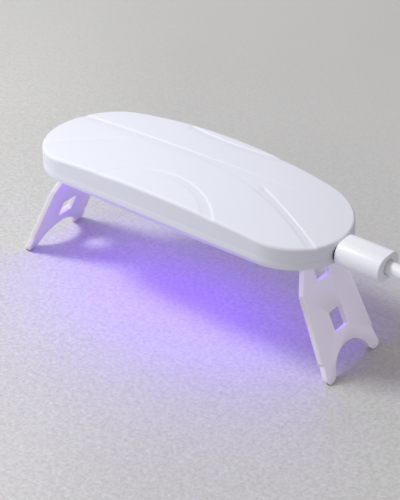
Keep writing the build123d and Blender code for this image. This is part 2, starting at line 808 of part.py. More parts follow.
def main():
    os.makedirs("parts", exist_ok=True)
    save("top_cover", make_top_cover())
    save("bottom_shell", make_bottom_shell())
    save("leg_left", make_leg(-1))
    save("leg_right", make_leg(1))
    save("reflector_plate", make_reflector())
    for number, x in enumerate(lens_places(), start=1):
        save(f"lens_{number}", make_lens(x))
        save(f"led_{number}", make_lamp(x))
    save("lamp_board", make_lamp_board())
    save("driver_chip", make_chip())
    save("resistors", make_resistors())
    save("capacitor", make_capacitor())
    save("socket_board", make_small_board(1))
    save("switch_board", make_small_board(-1))
    save("usb_socket", make_socket_shell())
    save("usb_socket_tongue", make_socket_tongue())
    save("tact_switch", make_switch())
    save("switch_plunger", make_plunger())
    save("power_button", make_button())
    save("case_screws", make_screws())
    save("plug_grip", make_grip())
    save("plug_nose", make_nose())

    coil_line, coil_start, start_dir = coil_path()
    route = hanging_route()
    radii = corner_radii(route)
    print("hanging stretch radii:", [round(r, 1) for r in radii])
    hanging = FilletPolyline(*route, radius=radii)
    hanging_wire = Wire(hanging.edges())
    for name, wire in (("lead_cable", hanging_wire), ("lead_coil", coil_line)):
        solid = tube(wire, cable_diameter)
        share = solid.volume / (wire.length * pi * cable_diameter**2 / 4)
        print(name, "length", round(wire.length, 1), "volume share", round(share, 4))
        save(name, solid)
    print("least gap between turns:", round(least_gap(coil_line), 2))
    save("usb_a_grip", make_a_grip())
    save("usb_a_shell", make_a_shell())
    save("usb_a_tongue", make_a_tongue())


main()
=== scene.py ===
from math import atan2, cos, hypot, pi, radians, sin, sqrt

import bpy
from mathutils import Matrix, Vector


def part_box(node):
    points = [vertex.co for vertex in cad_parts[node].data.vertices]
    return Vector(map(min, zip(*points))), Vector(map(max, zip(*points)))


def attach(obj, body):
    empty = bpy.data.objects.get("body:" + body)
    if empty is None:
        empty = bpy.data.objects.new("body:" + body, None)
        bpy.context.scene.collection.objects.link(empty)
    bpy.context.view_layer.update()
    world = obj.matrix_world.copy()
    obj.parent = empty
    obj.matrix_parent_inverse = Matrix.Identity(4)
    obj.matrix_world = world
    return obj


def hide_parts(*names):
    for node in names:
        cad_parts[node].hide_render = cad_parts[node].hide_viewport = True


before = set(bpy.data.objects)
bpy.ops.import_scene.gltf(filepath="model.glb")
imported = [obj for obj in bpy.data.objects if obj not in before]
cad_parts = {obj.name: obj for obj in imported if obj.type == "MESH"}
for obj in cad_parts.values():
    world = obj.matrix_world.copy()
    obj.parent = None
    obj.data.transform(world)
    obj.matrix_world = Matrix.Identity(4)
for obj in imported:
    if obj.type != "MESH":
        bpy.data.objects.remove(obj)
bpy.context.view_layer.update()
bpy.ops.object.select_all(action="DESELECT")

# The object's own measures are in millimetres; those of patterns, table and lights are in metres
MM = 0.001
PORT = 47.24             # height of the socket's and the button's axis
RIM = 46.04              # height of the housing's lower rim at its middle
RIM_BEND = 0.000512      # and how it falls towards the ends, per millimetre squared


def point(x, y, z):
    """A place in millimetres, as Blender's metres."""
    return Vector((x, y, z)) * MM


# Camera, where the photograph was taken from
CAMERA_PLACE = (364.402, -456.811, 396.409)
CAMERA_RIGHT = (0.78633, 0.61778, -0.00589)
CAMERA_BACK = (0.52212, -0.65941, 0.54090)
CAMERA_LENS = 132.5
SENSOR_WIDTH = 36.0
VIEW_REACH = 20.0        # metres


def set_camera():
    data = bpy.data.cameras.new("camera")
    data.sensor_width = SENSOR_WIDTH
    data.lens = CAMERA_LENS
    data.clip_end = VIEW_REACH
    camera = bpy.data.objects.new("camera", data)
    bpy.context.collection.objects.link(camera)
    back = Vector(CAMERA_BACK).normalized()
    right = Vector(CAMERA_RIGHT).normalized()
    turn = Matrix((right, back.cross(right), back)).transposed()
    camera.matrix_world = Matrix.Translation(point(*CAMERA_PLACE)) @ turn.to_4x4()
    bpy.context.scene.camera = camera


# The lead: straight out of its plug, down to the table, round the coil and on to the far plug
CABLE = 5.0
COIL_CENTRE = (172.0, 10.0)
COIL_RADIUS = 26.0       # after one turn
COIL_START = radians(270.0)
TURN_PITCH = 5.6         # from one turn to the next
UPPER_Z = 8.1            # cable's middle on the upper layer
LOWER_Z = 2.5            # and on the table
UPPER_TURNS = 2.0
CROSSING = 0.5           # share of a turn in which it goes down a layer
CROSSING_TUCK = 1.3      # and how far it draws in there
LOWER_FROM = UPPER_TURNS + CROSSING
COIL_TURNS = 4.5
POINTS_PER_TURN = 24


def coil_point(turn):
    """In on the upper layer, down a layer in half a turn, out again on the lower one."""
    inner = COIL_RADIUS - TURN_PITCH
    if turn <= UPPER_TURNS:
        radius, z = COIL_RADIUS + TURN_PITCH * (1 - turn), UPPER_Z
    elif turn <= LOWER_FROM:
        share = (turn - UPPER_TURNS) / CROSSING
        radius = inner - CROSSING_TUCK * sin(pi * share) ** 2
        z = UPPER_Z + (LOWER_Z - UPPER_Z) * (share - sin(2 * pi * share) / (2 * pi))
    else:
        radius, z = inner + TURN_PITCH * (turn - LOWER_FROM), LOWER_Z
    angle = COIL_START + 2 * pi * turn
    return (COIL_CENTRE[0] + radius * cos(angle), COIL_CENTRE[1] + radius * sin(angle), z)


def lead_route():
    """Control points of the lead's line."""
    hanging = [
        (84.4, 0.0, PORT), (100.4, 0.0, PORT), (117.4, -3.0, 37.24), (128.4, -9.0, 19.24),
        (147.0, -21.6, UPPER_Z), (167.0, -21.6, UPPER_Z),
    ]
    count = int(COIL_TURNS * POINTS_PER_TURN)
    coil = [coil_point(step / POINTS_PER_TURN) for step in range(count + 1)]
    tail = [
        (160.0, 41.95, LOWER_Z), (147.0, 42.3, LOWER_Z), (131.4, 42.3, 2.9), (124.9, 35.6, 3.5),
        (124.45, 24.0, 4.0), (124.3, 20.5, 4.0), (124.26, 15.94, 4.0),
    ]
    return hanging + coil + tail


def make_lead():
    route = lead_route()
    data = bpy.data.curves.new("lead", "CURVE")
    data.dimensions = "3D"
    data.resolution_u = 8
    data.bevel_depth = 1.0     # times the radius of each knot, which the curve's box goes by
    data.bevel_resolution = 6
    data.use_fill_caps = True
    spline = data.splines.new("NURBS")
    spline.points.add(len(route) - 1)
    for knot, place in zip(spline.points, route):
        knot.co = (*point(*place), 1.0)
        knot.radius = CABLE / 2 * MM
    spline.order_u = 3
    spline.use_endpoint_u = True
    lead = bpy.data.objects.new("lead", data)
    bpy.context.collection.objects.link(lead)
    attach(lead, "lead")
    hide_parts("lead_cable", "lead_coil")
    return lead


# Finishes
MIX_SHARE, MIX_FIRST, MIX_SECOND, MIX_RESULT = 0, 6, 7, 2     # sockets of a Mix node, for colours
NO_LIGHT = (0.0, 0.0, 0.0)


class Value:
    """A shader socket that can stand in a sum."""

    def __init__(self, finish, socket):
        self.finish = finish
        self.socket = socket

    def sum_with(self, operation, *terms):
        return self.finish.node("ShaderNodeMath", {"operation": operation}, *terms)

    def __add__(self, other):
        return self.sum_with("ADD", self, other)

    def __sub__(self, other):
        return self.sum_with("SUBTRACT", self, other)

    def __rsub__(self, other):
        return self.sum_with("SUBTRACT", other, self)

    def __mul__(self, other):
        return self.sum_with("MULTIPLY", self, other)

    def __pow__(self, other):
        return self.sum_with("POWER", self, other)

    __radd__ = __add__
    __rmul__ = __mul__


class Finish:
    """A material with its shader, built up from values."""

    def __init__(self, name, colour, roughness, **sockets):
        self.material = bpy.data.materials.new(name)
        self.material.use_nodes = True
        self.tree = self.material.node_tree
        self.shader = self.tree.nodes["Principled BSDF"]
        self.feed("Base Color", (*colour, 1))
        self.feed("Roughness", roughness)
        for socket, value in sockets.items():
            self.feed(socket.replace("_", " "), value)
        self.place = self.node("ShaderNodeTexCoord", {}, output="Object")

    def give(self, socket, value):
        """Links a value to a socket, or sets a number or colour there."""
        if isinstance(value, Value):
            self.tree.links.new(value.socket, socket)
        else:
            socket.default_value = value

    def feed(self, socket, value):
        """Gives one of the shader's own sockets a value."""
        self.give(self.shader.inputs[socket], value)
        return self

    def node(self, kind, settings, *values, output=0, **named):
        """A node with its settings, then its inputs in order or by name."""
        new = self.tree.nodes.new(kind)
        for setting, value in settings.items():
            setattr(new, setting, value)
        for number, value in enumerate(values):
            self.give(new.inputs[number], value)
        for name, value in named.items():
            self.give(new.inputs[name], value)
        return Value(self, new.outputs[output])

    def mix(self, share, first, second):
        """A colour between two."""
        mixer = self.tree.nodes.new("ShaderNodeMix")
        mixer.data_type = "RGBA"
        self.give(mixer.inputs[MIX_SHARE], share)
        for number, colour in ((MIX_FIRST, first), (MIX_SECOND, second)):
            self.give(mixer.inputs[number], colour if isinstance(colour, Value) else (*colour, 1))
        return Value(self, mixer.outputs[MIX_RESULT])

    def noise(self, size, detail=3.0, roughness=0.5, stretch=None):
        """Soft noise whose patches are about size metres wide, from 0 to 1."""
        place = self.place
        if stretch:
            place = self.node("ShaderNodeVectorMath", {"operation": "MULTIPLY"}, place, stretch)
        return self.node(
            "ShaderNodeTexNoise", {}, Vector=place, Scale=1 / size, Detail=detail, Roughness=roughness)

    def fade(self, value, start, end, at_start, at_end):
        """Goes softly from one number to another while a value goes from start to end."""
        soft = {"interpolation_type": "SMOOTHSTEP"}
        return self.node("ShaderNodeMapRange", soft, value, start, end, at_start, at_end)

    def along(self, axis):
        """How far a place of the surface lies along an axis."""
        return self.node("ShaderNodeSeparateXYZ", {}, self.place, output=axis)

    def facing_up(self):
        """From -1 where the surface faces down to 1 where it faces up."""
        normal = self.node("ShaderNodeTexCoord", {}, output="Normal")
        return self.node("ShaderNodeSeparateXYZ", {}, normal, output="Z")

    def bump(self, height, distance):
        """Unevenness, its height in metres."""
        uneven = self.node("ShaderNodeBump", {}, Height=height, Distance=distance, output="Normal")
        return self.feed("Normal", uneven)


def tint(colour, change):
    """The colour made paler or darker by a factor."""
    return tuple(max(0.0, min(1.0, channel * change)) for channel in colour)


FLOW_CLOUD = 0.03        # width of the clouds in a moulding
HANDLED_SPOT = 0.012     # and of its dull spots


def moulded_white(name, colour, roughness, grain=0.00035, depth=0.000012, **sockets):
    """Injection-moulded plastic: faint flow clouds, a fine skin and a few dull spots."""
    finish = Finish(name, colour, roughness, **sockets)
    clouds = finish.noise(FLOW_CLOUD, 2.0)
    skin = finish.noise(grain, 2.0)
    handled = finish.noise(HANDLED_SPOT, 4.0, 0.65)
    darker, paler = tint(colour, 0.975), tint(colour, 1.02)
    finish.feed("Base Color", finish.mix(clouds * 0.6 + skin * 0.2, darker, paler))
    finish.feed("Roughness", handled * 0.12 + skin * 0.05 + (roughness - 0.08))
    return finish.bump(skin + handled * 0.5, depth)


# Painted light: a violet tint and glow along the housing's lower rim, standing in for violet lamp
# light from the table below
RIM_BAND = (0.9, 1.5)            # height above the rim over which its violet fades out
RIM_LEFT_END = (-52.0, -22.0)    # and where it comes in and goes out along the housing
RIM_RIGHT_END = (40.0, 55.0)
FACING_DOWN = (-0.98, -0.6)      # from straight down to fully sideways
RIM_UNDERSIDE = 0.12             # share of the violet that is left on the underside
PAINTED_RIM_VIOLET = (0.68, 0.62, 0.90)


def paint_violet_rim_glow(finish, colour):
    """Painted violet light on the lower rim of the housing: tinted violet and glowing, for the violet
    lamp light thrown up on it from the table.
    """
    x = finish.along("X") * (1 / MM)
    z = finish.along("Z") * (1 / MM)
    height = z + x * x * RIM_BEND - RIM
    painted_glow_band = finish.fade(height, *RIM_BAND, 1.0, 0.0)
    painted_glow_band = painted_glow_band * finish.fade(x, *RIM_LEFT_END, 0.0, 1.0)
    painted_glow_band = painted_glow_band * finish.fade(x, *RIM_RIGHT_END, 1.0, 0.0)
    painted_glow_band = painted_glow_band * finish.fade(finish.facing_up(), *FACING_DOWN, RIM_UNDERSIDE, 1.0)
    moulded = Value(finish, finish.shader.inputs["Base Color"].links[0].from_socket)
    finish.feed("Base Color", finish.mix(painted_glow_band, moulded, PAINTED_RIM_VIOLET))
    finish.feed("Emission Color", finish.mix(painted_glow_band, NO_LIGHT, colour))
    return finish.feed("Emission Strength", 1.0)


# Painted light: the legs' outer sides glow, for lamp light coming through the milky plastic
PAINTED_GLOW_SIDE = (0.1, 0.5)          # how far up a leg's surface faces where the glow comes in


def paint_glow_through(finish, colour):
    """Painted light: a glow given to a milky wall's outer, upward side, standing in for lamp light
    that comes through it.
    """
    outer = finish.fade(finish.facing_up(), *PAINTED_GLOW_SIDE, 0.0, 1.0)
    finish.feed("Emission Color", finish.mix(outer, NO_LIGHT, colour))
    return finish.feed("Emission Strength", 1.0)


def plain(name, colour, roughness, patch, change, depth):
    """A finish with soft patches of tone and gloss, for the small pieces."""
    finish = Finish(name, colour, roughness)
    patches = finish.noise(patch, 3.0, 0.6)
    finish.feed("Base Color", finish.mix(patches, tint(colour, 1 - change), tint(colour, 1 + change)))
    finish.feed("Roughness", patches * 0.14 + (roughness - 0.07))
    return finish.bump(patches, depth)


STREAK = 0.0002          # width of the streaks in steel
STREAK_STRETCH = (0.08, 1, 1)


def drawn_steel(name, colour, roughness):
    """Rolled sheet or turned steel: fine streaks along X."""
    finish = Finish(name, colour, roughness, Metallic=1.0)
    streaks = finish.noise(STREAK, 2.0, 0.6, stretch=STREAK_STRETCH)
    haze = finish.noise(0.004, 3.0)
    finish.feed("Base Color", finish.mix(haze, tint(colour, 0.92), tint(colour, 1.05)))
    finish.feed("Roughness", streaks * 0.18 + haze * 0.08 + (roughness - 0.12))
    return finish.bump(streaks, 0.000004)


FOIL_WAVE = 0.006
FOIL_DUST = 0.0006


def mirror_foil(name):
    """Vacuum-metallised reflector with a slightly wavy skin."""
    finish = Finish(name, (0.86, 0.87, 0.89), 0.12, Metallic=1.0)
    waves = finish.noise(FOIL_WAVE, 2.0)
    dust = finish.noise(FOIL_DUST, 4.0, 0.7)
    finish.feed("Roughness", waves * 0.08 + dust ** 3 * 0.3 + 0.06)
    finish.feed("Base Color", finish.mix(waves, (0.84, 0.85, 0.88), (0.88, 0.885, 0.90)))
    return finish.bump(waves + dust * 0.1, 0.00003)


def lamp_glow(name, colour, strength, roughness):
    """A lit violet source, a little uneven across its face."""
    finish = Finish(name, tint(colour, 0.8), roughness, Emission_Strength=strength)
    uneven = finish.noise(0.0012, 2.0)
    finish.feed("Emission Color", finish.mix(uneven, tint(colour, 0.9), tint(colour, 1.0)))
    return finish.feed("Roughness", uneven * 0.1 + roughness)


MASK_PALE = (0.82, 0.84, 0.82)
MASK_OVER_COPPER = (0.66, 0.70, 0.66)
TRACKS_PER_METRE = 160.0


def circuit_board(name):
    """White solder mask with faint copper lines under it."""
    finish = Finish(name, (0.80, 0.82, 0.80), 0.42)
    weave = finish.noise(0.0005, 2.0)
    tracks = finish.node(
        "ShaderNodeTexWave", {"wave_type": "BANDS", "bands_direction": "Y"},
        Vector=finish.place, Scale=TRACKS_PER_METRE, Distortion=1.5, output="Fac")
    copper = tracks ** 6 * 0.5 + weave * 0.2
    finish.feed("Base Color", finish.mix(copper, MASK_PALE, MASK_OVER_COPPER))
    finish.feed("Roughness", weave * 0.15 + 0.35)
    return finish.bump(copper, 0.00002)


STONE_DARK = (0.240, 0.239, 0.236)
STONE_PALE = (0.855, 0.851, 0.840)
ACROSS_VIEW = (0.786, 0.618)     # direction on the table that runs to the right in the photograph
NEAR_FADE = (-0.05, 0.25)        # along Y: the fleck blurs from here to there
FAR_FLECK = 0.12                 # what is left of it beyond
# Painted light: the table is painted paler towards the left, where more light falls
PAINTED_LIGHT_FADE = (-0.085, -0.005)     # across the view: the table is paler left of here
PAINTED_LIGHT_LEFT = 1.14


def table_top(name):
    """A pale grey stone-like table with a fine fleck, painted paler towards the left where more light
    falls.
    """
    finish = Finish(name, (0.505, 0.502, 0.495), 0.62)
    cloud = finish.noise(0.22, 4.0, 0.55)
    fleck = finish.noise(0.0016, 2.0, 0.8)
    pits = finish.noise(0.004, 5.0, 0.65)
    x, y = finish.along("X"), finish.along("Y")
    near = finish.fade(y, *NEAR_FADE, 1.0, FAR_FLECK)
    # painted light: how much of the painted paler tone a place gets, more towards the left
    left = finish.fade(x * ACROSS_VIEW[0] + y * ACROSS_VIEW[1], *PAINTED_LIGHT_FADE, 1.0, 0.0)
    fleck = (fleck - 0.5) * near + 0.5
    pits = (pits - 0.5) * near + 0.5
    tone = cloud * 0.20 + fleck * 0.60 + pits * 0.20
    stone = finish.mix(tone, STONE_DARK, STONE_PALE)
    # painted light: the same stone painted paler, for the light that falls on the left
    paler = finish.mix(tone, tint(STONE_DARK, PAINTED_LIGHT_LEFT), tint(STONE_PALE, PAINTED_LIGHT_LEFT))
    finish.feed("Base Color", finish.mix(left * near, stone, paler))
    finish.feed("Roughness", fleck * 0.2 + 0.5)
    return finish.bump(fleck + pits, 0.0001)


gloss_white = moulded_white(
    "gloss_white_moulding", (0.815, 0.838, 0.93), 0.46, Specular_IOR_Level=0.2)
# Painted light: each leg gets its own painted glow, the right one much brighter than the left, for how
# the lamp light reaches each; the two leg finishes are otherwise alike
painted_leg_glow = {"left": (0.02, 0.012, 0.05), "right": (0.145, 0.13, 0.21)}
milky_leg = {}
for side, glow in painted_leg_glow.items():
    milky_leg[side] = moulded_white(
        f"milky_{side}_leg", (0.87, 0.83, 0.88), 0.40,
        Subsurface_Weight=1.0, Subsurface_Scale=0.0006, Subsurface_Radius=(1.0, 0.95, 1.0))
    paint_glow_through(milky_leg[side], glow)
plug_white = moulded_white(
    "plug_moulding", (0.86, 0.87, 0.94), 0.30, grain=0.0003, Specular_IOR_Level=0.3)
cable_white = moulded_white(
    "cable_sheath", (0.88, 0.89, 0.94), 0.42, grain=0.0004, depth=0.00002)
shell_white = moulded_white(
    "shell_moulding", (0.825, 0.845, 0.94), 0.46, Specular_IOR_Level=0.2)
# painted violet glow on the shell's lower rim
paint_violet_rim_glow(shell_white, (0.02, 0.0, 0.14))
steel = drawn_steel("bright_steel", (0.72, 0.72, 0.73), 0.28)
foil = mirror_foil("reflector_foil")
lens_clear = lamp_glow("lit_lens", (0.33, 0.12, 1.0), 1.6, 0.08)
lamp_lit = lamp_glow("lit_lamp", (0.45, 0.28, 1.0), 4.0, 0.2)
board_white = circuit_board("white_board")
black_case = plain("black_case", (0.03, 0.03, 0.033), 0.45, patch=0.0015, change=0.25, depth=0.00002)
ceramic_tan = plain(
    "capacitor_ceramic", (0.42, 0.31, 0.20), 0.55, patch=0.001, change=0.12, depth=0.00003)
resistor_black = plain(
    "resistor_glaze", (0.05, 0.05, 0.055), 0.3, patch=0.0008, change=0.3, depth=0.00001)

LAMP_NUMBERS = range(1, 7)
node_finishes = {
    "top_cover": gloss_white, "bottom_shell": shell_white, "power_button": gloss_white,
    "leg_left": milky_leg["left"], "leg_right": milky_leg["right"],
    "plug_grip": plug_white, "usb_a_grip": plug_white, "usb_a_tongue": plug_white,
    "reflector_plate": foil,
    "case_screws": steel, "usb_socket": steel, "plug_nose": steel, "usb_a_shell": steel,
    "lamp_board": board_white, "socket_board": board_white, "switch_board": board_white,
    "driver_chip": black_case, "usb_socket_tongue": black_case, "tact_switch": black_case,
    "switch_plunger": black_case, "resistors": resistor_black, "capacitor": ceramic_tan,
}
for number in LAMP_NUMBERS:
    node_finishes[f"lens_{number}"] = lens_clear
    node_finishes[f"led_{number}"] = lamp_lit


def dress(piece, finish):
    """Gives a piece one finish all over."""
    piece.data.materials.clear()
    piece.data.materials.append(finish.material)


# Housing: the curves of its plan, of its top and of its seam
END_RADIUS = 23.5        # of the ends in plan
END_CENTRE = 43.5
SIDE_RADIUS = 580.9      # of the long sides in plan
SIDE_CENTRE = 555.7
TOP = 59.34              # height of the top at its middle
ARCH_RADIUS = 303.02     # of the top along its length
CROWN_RADIUS = 199.25    # and across it
CROWN = 1.6              # how far the top falls from its middle to its long sides
SEAM = 50.14             # height of the seam at its middle
SEAM_RADIUS = 563.1
WALL = 1.6
EDGE_ROUND = 1.1
SEAM_STEP = 0.07         # the cover's lower edge is drawn in by this much
SEAM_STEP_TALL = 0.12


class Arc:
    """A circle in plan through three places."""

    def __init__(self, first, second, third):
        (ax, ay), (bx, by), (cx, cy) = first, second, third
        double = 2 * (ax * (by - cy) + bx * (cy - ay) + cx * (ay - by))
        a, b, c = (x * x + y * y for x, y in (first, second, third))
        self.x = (a * (by - cy) + b * (cy - ay) + c * (ay - by)) / double
        self.y = (a * (cx - bx) + b * (ax - cx) + c * (bx - ax)) / double
        self.radius = hypot(ax - self.x, ay - self.y)

    def in_front(self, x, y):
        """How far a place lies in front of the line, that is, towards -Y."""
        away = hypot(x - self.x, y - self.y) - self.radius
        return away if self.y > 0 else -away


def ease(value, start, end):
    """Rises softly from 0 at start to 1 at end."""
    share = max(0.0, min(1.0, (value - start) / (end - start)))
    return share * share * (3 - 2 * share)


# The soft ledges across the top, as arcs in plan: a pair has its sharp back line first
front_ledge = (
    Arc((-26.3, -23.7), (0.7, -11.0), (27.7, -23.7)), Arc((-17.4, -26), (2.8, -15.2), (23.1, -26)))
right_ledge = (
    Arc((29.6, 3.4), (47.5, -4.1), (68, -13.8)), Arc((-4.4, 3.4), (26.5, -0.9), (61.1, -14.8)))
crease = Arc((-64, 13.2), (-10, 6.2), (42, 11.2))
back_line = Arc((-20, 24.6), (-1, 21.4), (21, 24.8))
left_line = Arc((-66, -15.5), (-49.6, -6.3), (-33, 2.3))

RISER = 0.7              # width of a sharp line's slope
FRONT_RISER = 0.8        # and of one that a ledge has in front
RIGHT_CRISP = 0.3        # share of a ledge's depth that its front line takes at once
FRONT_CRISP = 0.24
FRONT_DEPTH = 0.32
RIGHT_DEPTH = 0.36
STEP_DEPTH = 0.10
CREASE_WIDTH, CREASE_DEPTH = 5.0, 0.32
BACK_WIDTH, BACK_DEPTH = 4.5, 0.36
LEFT_WIDTH, LEFT_DEPTH = 6.0, 0.42


def channel(x, y, back, front, depth, crisp):
    """Down softly from the front line, deepest at the back line, and up again sharply behind it."""
    to_back, to_front = back.in_front(x, y), -front.in_front(x, y)
    if to_back <= 0 or to_front <= 0:
        return 0.0
    slope = crisp * ease(to_front, 0, FRONT_RISER) + (1 - crisp) * to_front / (to_front + to_back)
    return depth * slope * ease(to_back, 0, RISER)


def ledge(x, y, line, width, depth):
    """The same with a slope of one width that has no line in front."""
    to_back = line.in_front(x, y)
    if to_back <= 0 or to_back >= width:
        return 0.0
    return depth * (1 - ease(to_back, 0, width)) * ease(to_back, 0, RISER)


def step_down(x, y, front, back, depth):
    """Down sharply behind the front line, then slowly up again to the back line."""
    to_back, to_front = back.in_front(x, y), -front.in_front(x, y)
    if to_back <= 0 or to_front <= 0:
        return 0.0
    return depth * ease(to_front, 0, FRONT_RISER) * to_back / (to_front + to_back)


def sunk(x, y):
    """How far the ledges sink the top at a place; each starts and ends softly along X."""
    front = channel(x, y, *front_ledge, FRONT_DEPTH, FRONT_CRISP * ease(x, 0, 12))
    depth = front * (0.6 + 0.4 * ease(x, -26, 0)) * ease(x, -31, -27)
    fold = ledge(x, y, crease, CREASE_WIDTH, CREASE_DEPTH)
    depth += fold * (1 - 0.5 * ease(x, -20, 10)) * (1 - ease(x, 0, 66))
    step = step_down(x, y, right_ledge[1], crease, STEP_DEPTH)
    depth += step * ease(x, -16, 0) * (1 - ease(x, 27, 33))
    depth += channel(x, y, *right_ledge, RIGHT_DEPTH, RIGHT_CRISP) * ease(x, 28, 32)
    depth += ledge(x, y, back_line, BACK_WIDTH, BACK_DEPTH) * ease(x, -21, -18)
    depth += ledge(x, y, left_line, LEFT_WIDTH, LEFT_DEPTH) * (1 - ease(x, -39, -30))
    return depth


def top_height(x, y):
    crown = CROWN - CROWN_RADIUS + sqrt(CROWN_RADIUS**2 - y * y)
    axis = TOP - CROWN - ARCH_RADIUS
    return axis + sqrt((ARCH_RADIUS + crown) ** 2 - x * x)


def seam_height(x):
    return SEAM - SEAM_RADIUS + sqrt(SEAM_RADIUS**2 - x * x)


def edge_sag(inset):
    """How far the rounded edge lies below the top's surface, this far inside the wall."""
    if inset >= EDGE_ROUND:
        return 0.0
    return EDGE_ROUND - sqrt(EDGE_ROUND**2 - (EDGE_ROUND - inset) ** 2)


# The cover's rows of places run all round, and each has the same number of places
END_STEPS = 130
SIDE_STEPS = 210
TOP_ROWS = 88
SPINE_INSET = 22.5       # the innermost full ring; from here the rows close on the middle line
INNER_INSETS = (SPINE_INSET, 20.0, 15.0, 10.0, 6.0, 3.0, WALL)
SEW_WITHIN = 0.0000001   # metres
CRISP_EDGE = 32          # degrees past which an edge isn't shaded smooth


def outline(inset):
    """The plan this far inside the edge, all round: right end, back, left end, front."""
    half_angle = atan2(SIDE_CENTRE, END_CENTRE)
    swing = pi / 2 - half_angle
    places = []
    for middle, centre in ((0.0, END_CENTRE), (pi, -END_CENTRE)):
        radius = END_RADIUS - inset
        for step in range(END_STEPS):
            angle = middle - half_angle + 2 * half_angle * step / END_STEPS
            places.append((centre + radius * cos(angle), radius * sin(angle)))
        side = 1 if middle == 0.0 else -1
        radius = SIDE_RADIUS - inset
        for step in range(SIDE_STEPS):
            angle = side * pi / 2 - swing + 2 * swing * step / SIDE_STEPS
            places.append((radius * cos(angle), radius * sin(angle) - side * SIDE_CENTRE))
    return places


def on_middle_line(x, y, inset):
    """Where a place of the outline lands on the middle line, with even steps round the ends."""
    radius = END_RADIUS - inset
    swing = atan2(SIDE_CENTRE, END_CENTRE)
    angle = atan2(abs(y), abs(x) - END_CENTRE)
    if angle >= swing:
        return x
    turn_start = END_CENTRE + radius * cos(swing)
    reach = turn_start + (END_CENTRE + radius - turn_start) * (1 - angle / swing)
    return reach if x > 0 else -reach


def ring(inset, height, spread=1.0):
    """One closed row; height gives z at a place, spread draws the row in to the middle line."""
    places = []
    for x, y in outline(inset):
        x = x * spread + on_middle_line(x, y, inset) * (1 - spread)
        y = y * spread
        places.append((x, y, height(x, y)))
    return places


def wrap_grid(name, rows):
    """A grid laid round through the rows and sewn up where its ends meet."""
    around = len(rows[0])
    bpy.ops.mesh.primitive_grid_add(x_subdivisions=around, y_subdivisions=len(rows) - 1, size=1)
    skin = bpy.context.object
    skin.name = name
    for vertex in skin.data.vertices:
        row, column = divmod(vertex.index, around + 1)
        vertex.co = point(*rows[row][column % around])
    bpy.ops.object.mode_set(mode="EDIT")
    bpy.ops.mesh.select_all(action="SELECT")
    bpy.ops.mesh.remove_doubles(threshold=SEW_WITHIN)
    bpy.ops.mesh.normals_make_consistent(inside=False)
    bpy.ops.object.mode_set(mode="OBJECT")
    return skin


def apply_modifier(piece, kind, **settings):
    """Adds a modifier with its settings and applies it."""
    bpy.context.view_layer.objects.active = piece
    modifier = piece.modifiers.new(kind.lower(), kind)
    for setting, value in settings.items():
        setattr(modifier, setting, value)
    bpy.ops.object.modifier_apply(modifier=modifier.name)


def bar(start, end, width, tall, corner):
    """A bar along X at the port's height, with rounded long edges."""
    length = end - start
    middle = point(start + length / 2, 0, PORT)
    bpy.ops.mesh.primitive_cube_add(size=1, location=middle, scale=point(length, width, tall))
    bpy.ops.object.transform_apply(location=True, rotation=False, scale=True)
    piece = bpy.context.object
    bpy.ops.object.mode_set(mode="EDIT")
    bpy.ops.mesh.select_mode(type="EDGE")
    bpy.ops.mesh.select_all(action="DESELECT")
    bpy.ops.object.mode_set(mode="OBJECT")
    for edge in piece.data.edges:
        ends = [piece.data.vertices[index].co for index in edge.vertices]
        edge.select = abs(ends[0].x - ends[1].x) > length * MM / 2
    bpy.ops.object.mode_set(mode="EDIT")
    bpy.ops.mesh.bevel(offset=corner * MM, offset_type="OFFSET", segments=12)
    bpy.ops.object.mode_set(mode="OBJECT")
    return piece


def round_post(x, y, z, radius, length, turn):
    """A cylinder that cuts, upright or turned along X."""
    bpy.ops.mesh.primitive_cylinder_add(
        vertices=96, radius=radius * MM, depth=length * MM, location=point(x, y, z), rotation=turn)
    return bpy.context.object


def cut_away(piece, cutter):
    """Takes a cutter out of a piece and throws the cutter away."""
    apply_modifier(piece, "BOOLEAN", operation="DIFFERENCE", solver="EXACT", object=cutter)
    bpy.data.objects.remove(cutter, do_unlink=True)


def ease_edges(piece, width, segments, sharper_than, **settings):
    """Rounds the edges that are sharper than an angle in degrees."""
    apply_modifier(
        piece, "BEVEL", width=width * MM, segments=segments,
        limit_method="ANGLE", angle_limit=radians(sharper_than), **settings)


def select_only(piece):
    bpy.ops.object.select_all(action="DESELECT")
    piece.select_set(True)
    bpy.context.view_layer.objects.active = piece


def smooth(piece, angle):
    """Shades a piece smooth, apart from edges sharper than an angle in degrees."""
    select_only(piece)
    bpy.ops.object.shade_smooth_by_angle(angle=radians(angle))


def stand_in(piece, body, slot, *nodes):
    """A piece that rides with a body in place of its solids."""
    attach(piece, body)
    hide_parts(*nodes)


# Top cover: an arched and crowned shell with soft ledges across its top, made as one closed run of
# rows: from the middle line out under the top, down the wall's inside, round the lip, up the wall's
# outside, over the rounded edge and in over the top to the middle line
RIGHT_END = (61, 73)             # a cutter's reach through the right end wall
LEFT_END = (-73, -61)
SOCKET_OPENING = (7.96, 3.06, 0.6)     # width, height and corner radius
BUTTON_OPENING = (8.4, 3.4, 1.69)


